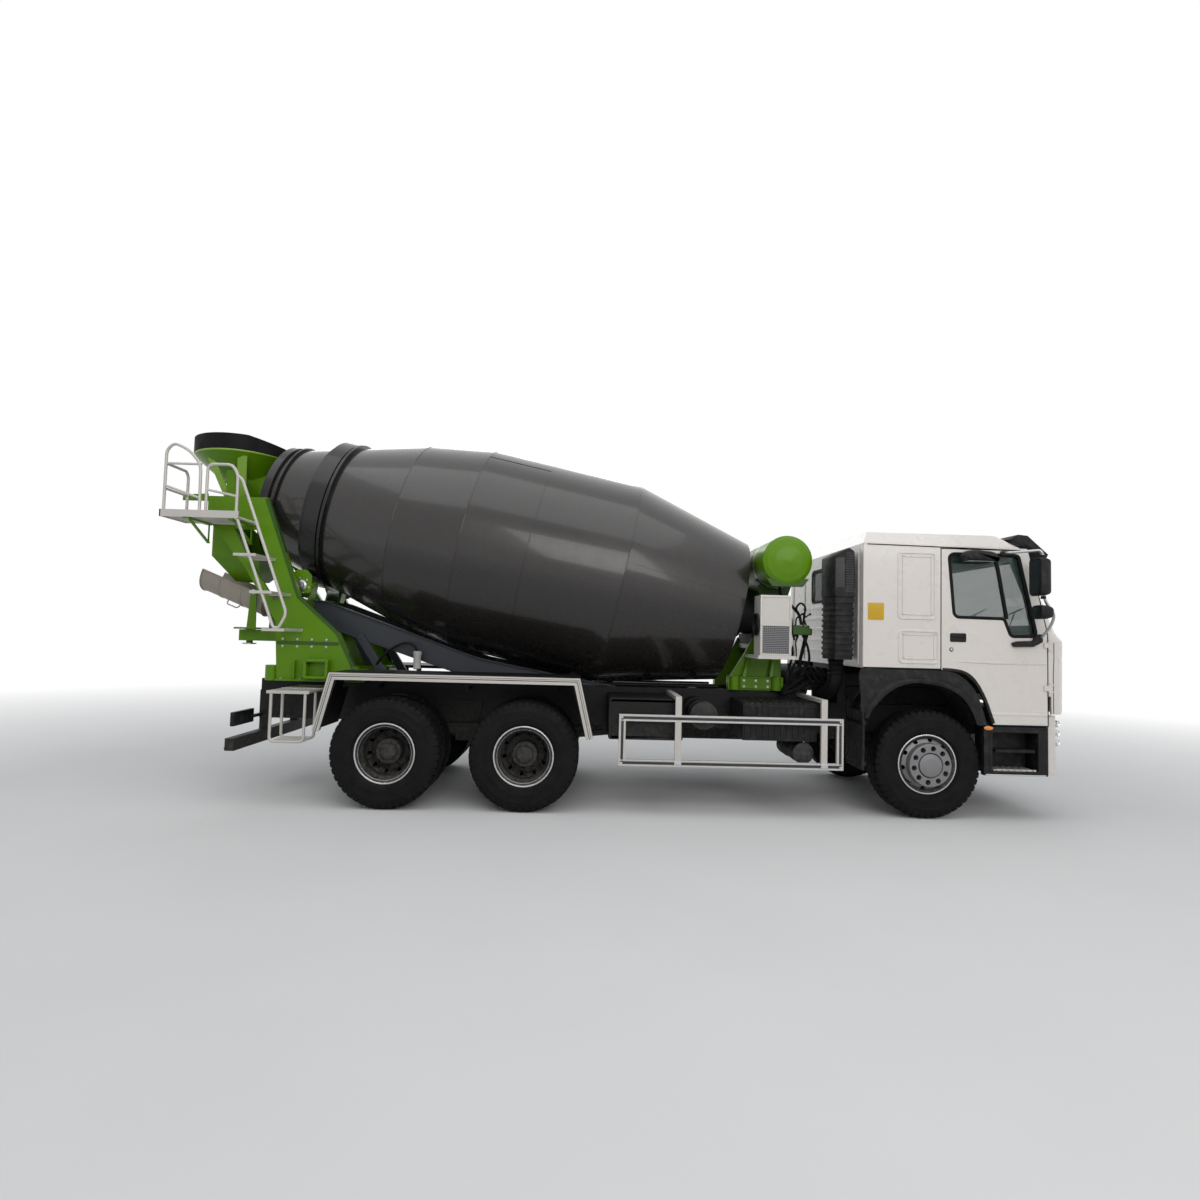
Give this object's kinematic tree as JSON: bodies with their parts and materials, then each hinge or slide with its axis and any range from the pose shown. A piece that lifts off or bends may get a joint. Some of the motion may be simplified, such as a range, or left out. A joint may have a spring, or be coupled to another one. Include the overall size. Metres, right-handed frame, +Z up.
{
  "type": "concrete mixer truck",
  "caption": "Three-axle concrete mixer truck with tilting cab, opening doors, steering, inclined turning drum, feed hopper and swivelling folding chute.",
  "frame": {"origin": "on the ground, below the middle of the overall length and width", "axes": "+X forward, +Y to the truck's left, +Z up"},
  "size_m": [9.45, 3, 3.8802],
  "materials": {
    "access_ladder": "gloss apple green",
    "air_intake": "moulded black",
    "air_tanks": "satin black",
    "battery_box": "satin black",
    "cab_front_panel": "gloss warm white",
    "cab_glass": "tinted",
    "cab_shell": "gloss warm white",
    "cab_steps": "moulded black",
    "chassis_frame": "satin black",
    "chute_arm": "gloss apple green",
    "chute_trough": "worn cream grey",
    "dashboard": "grained",
    "door_glass_left": "tinted",
    "door_glass_right": "tinted",
    "door_left": "gloss warm white",
    "door_right": "gloss warm white",
    "drum_gearbox": "matt grey",
    "drum_rings": "gloss black",
    "drum_roller_left": "machined",
    "drum_roller_right": "machined",
    "drum_shell": "gloss slate grey",
    "engine": "matt grey",
    "feed_hopper": "gloss apple green",
    "front_axle": "satin black",
    "front_bumper": "gloss warm white",
    "front_mudguards": "moulded black",
    "front_pedestal": "gloss apple green",
    "front_tyre_left": "worn matt",
    "front_tyre_right": "worn matt",
    "front_wheel_left": "silver paint",
    "front_wheel_right": "silver paint",
    "fuel_tank": "brushed",
    "headlamps": "clear lens",
    "knuckle_left": "satin black",
    "knuckle_right": "satin black",
    "leaf_springs": "satin black",
    "mid_tyres_left": "worn matt",
    "mid_tyres_right": "worn matt",
    "mid_wheel_left": "silver paint",
    "mid_wheel_right": "silver paint",
    "mirrors_left": "moulded black",
    "mirrors_right": "moulded black",
    "oil_cooler": "satin grey",
    "rear_axles": "satin black",
    "rear_fenders": "satin black",
    "rear_pedestal": "gloss apple green",
    "rear_tyres_left": "worn matt",
    "rear_tyres_right": "worn matt",
    "rear_wheel_left": "silver paint",
    "rear_wheel_right": "silver paint",
    "seats": "woven",
    "side_guards": "brushed",
    "steering_wheel": "moulded black",
    "subframe": "gloss apple green",
    "sun_visor": "moulded black",
    "tie_rod": "satin black",
    "water_tank": "gloss apple green",
    "work_platform": "gloss apple green"
  },
  "bodies": {
    "chassis": {"chassis_frame": "chassis_frame", "subframe": "subframe", "engine": "engine", "front_axle": "front_axle", "leaf_springs": "leaf_springs", "rear_axles": "rear_axles", "front_pedestal": "front_pedestal", "drum_gearbox": "drum_gearbox", "rear_pedestal": "rear_pedestal", "feed_hopper": "feed_hopper", "water_tank": "water_tank", "oil_cooler": "oil_cooler", "air_intake": "air_intake", "work_platform": "work_platform", "access_ladder": "access_ladder", "rear_fenders": "rear_fenders", "side_guards": "side_guards", "fuel_tank": "fuel_tank", "battery_box": "battery_box", "air_tanks": "air_tanks", "front_bumper": "front_bumper", "headlamps": "headlamps", "cab_steps": "cab_steps", "front_mudguards": "front_mudguards"},
    "drum": {"drum_shell": "drum_shell", "drum_rings": "drum_rings"},
    "cab": {"cab_shell": "cab_shell", "cab_front_panel": "cab_front_panel", "cab_glass": "cab_glass", "sun_visor": "sun_visor", "seats": "seats", "dashboard": "dashboard"},
    "steering_wheel": {"steering_wheel": "steering_wheel"},
    "tie_rod": {"tie_rod": "tie_rod"},
    "chute_arm": {"chute_arm": "chute_arm"},
    "chute_trough": {"chute_trough": "chute_trough"},
    "drum_roller_right": {"drum_roller_right": "drum_roller_right"},
    "door_right": {"door_right": "door_right", "door_glass_right": "door_glass_right", "mirrors_right": "mirrors_right"},
    "knuckle_right": {"knuckle_right": "knuckle_right"},
    "front_wheel_right": {"front_wheel_right": "front_wheel_right", "front_tyre_right": "front_tyre_right"},
    "mid_wheels_right": {"mid_wheel_right": "mid_wheel_right", "mid_tyres_right": "mid_tyres_right"},
    "rear_wheels_right": {"rear_wheel_right": "rear_wheel_right", "rear_tyres_right": "rear_tyres_right"},
    "drum_roller_left": {"drum_roller_left": "drum_roller_left"},
    "door_left": {"door_left": "door_left", "door_glass_left": "door_glass_left", "mirrors_left": "mirrors_left"},
    "knuckle_left": {"knuckle_left": "knuckle_left"},
    "front_wheel_left": {"front_wheel_left": "front_wheel_left", "front_tyre_left": "front_tyre_left"},
    "mid_wheels_left": {"mid_wheel_left": "mid_wheel_left", "mid_tyres_left": "mid_tyres_left"},
    "rear_wheels_left": {"rear_wheel_left": "rear_wheel_left", "rear_tyres_left": "rear_tyres_left"}
  },
  "joints": [
    {"name": "drum_spin", "type": "hinge", "parent": "chassis", "child": "drum", "pos_m": [1.489, 0, 2.048], "axis": [-0.9776, 0, 0.2106], "continuous": true},
    {"name": "roller_spin_right", "type": "hinge", "parent": "chassis", "child": "drum_roller_right", "pos_m": [-3.2669, -0.45788, 2.19188], "axis": [-0.9776, 0, 0.2106], "continuous": true},
    {"name": "roller_spin_left", "type": "hinge", "parent": "chassis", "child": "drum_roller_left", "pos_m": [-3.2669, 0.45788, 2.19188], "axis": [-0.9776, 0, 0.2106], "continuous": true},
    {"name": "cab_tilt", "type": "hinge", "parent": "chassis", "child": "cab", "pos_m": [4.425, 0, 0.95], "axis": [0, 1, 0], "range_deg": [0, 50]},
    {"name": "door_right_hinge", "type": "hinge", "parent": "cab", "child": "door_right", "pos_m": [4.412, -1.212, 1.5], "axis": [0, 0, 1], "range_deg": [0, 70]},
    {"name": "door_left_hinge", "type": "hinge", "parent": "cab", "child": "door_left", "pos_m": [4.412, 1.212, 1.5], "axis": [0, 0, -1], "range_deg": [0, 70]},
    {"name": "steering_wheel_turn", "type": "hinge", "parent": "cab", "child": "steering_wheel", "pos_m": [4.045, 0.61, 2.03], "axis": [-0.5, 0, 0.866], "range_deg": [-560, 560]},
    {"name": "steer_right", "type": "hinge", "parent": "chassis", "child": "knuckle_right", "pos_m": [3.225, -0.84, 0.54], "axis": [0, 0, 1], "range_deg": [-35, 35]},
    {"name": "front_wheel_spin_right", "type": "hinge", "parent": "knuckle_right", "child": "front_wheel_right", "pos_m": [3.225, -1.011, 0.54], "axis": [0, 1, 0], "continuous": true},
    {"name": "steer_left", "type": "hinge", "parent": "chassis", "child": "knuckle_left", "pos_m": [3.225, 0.84, 0.54], "axis": [0, 0, 1], "range_deg": [-35, 35]},
    {"name": "front_wheel_spin_left", "type": "hinge", "parent": "knuckle_left", "child": "front_wheel_left", "pos_m": [3.225, 1.011, 0.54], "axis": [0, 1, 0], "continuous": true},
    {"name": "tie_rod_pivot", "type": "hinge", "parent": "knuckle_right", "child": "tie_rod", "pos_m": [3.025, -0.84, 0.374], "axis": [0, 0, 1], "range_deg": [-35, 35]},
    {"name": "mid_wheels_spin_right", "type": "hinge", "parent": "chassis", "child": "mid_wheels_right", "pos_m": [-0.8, -0.915, 0.54], "axis": [0, 1, 0], "continuous": true},
    {"name": "mid_wheels_spin_left", "type": "hinge", "parent": "chassis", "child": "mid_wheels_left", "pos_m": [-0.8, 0.915, 0.54], "axis": [0, 1, 0], "continuous": true},
    {"name": "rear_wheels_spin_right", "type": "hinge", "parent": "chassis", "child": "rear_wheels_right", "pos_m": [-2.15, -0.915, 0.54], "axis": [0, 1, 0], "continuous": true},
    {"name": "rear_wheels_spin_left", "type": "hinge", "parent": "chassis", "child": "rear_wheels_left", "pos_m": [-2.15, 0.915, 0.54], "axis": [0, 1, 0], "continuous": true},
    {"name": "chute_swivel", "type": "hinge", "parent": "chassis", "child": "chute_arm", "pos_m": [-4.075, 0, 1.68], "axis": [0, 0, 1], "range_deg": [-88, 88]},
    {"name": "chute_fold", "type": "hinge", "parent": "chute_arm", "child": "chute_trough", "pos_m": [-3.925, 0, 2.125], "axis": [0, 1, 0], "range_deg": [-51, 0]}
  ],
  "couplings": [
    {"joint": "roller_spin_right", "follows": "drum_spin", "ratio": -6.8},
    {"joint": "roller_spin_left", "follows": "drum_spin", "ratio": -6.8},
    {"joint": "steer_left", "follows": "steer_right", "ratio": 1},
    {"joint": "tie_rod_pivot", "follows": "steer_right", "ratio": -1},
    {"joint": "steering_wheel_turn", "follows": "steer_right", "ratio": 16}
  ]
}
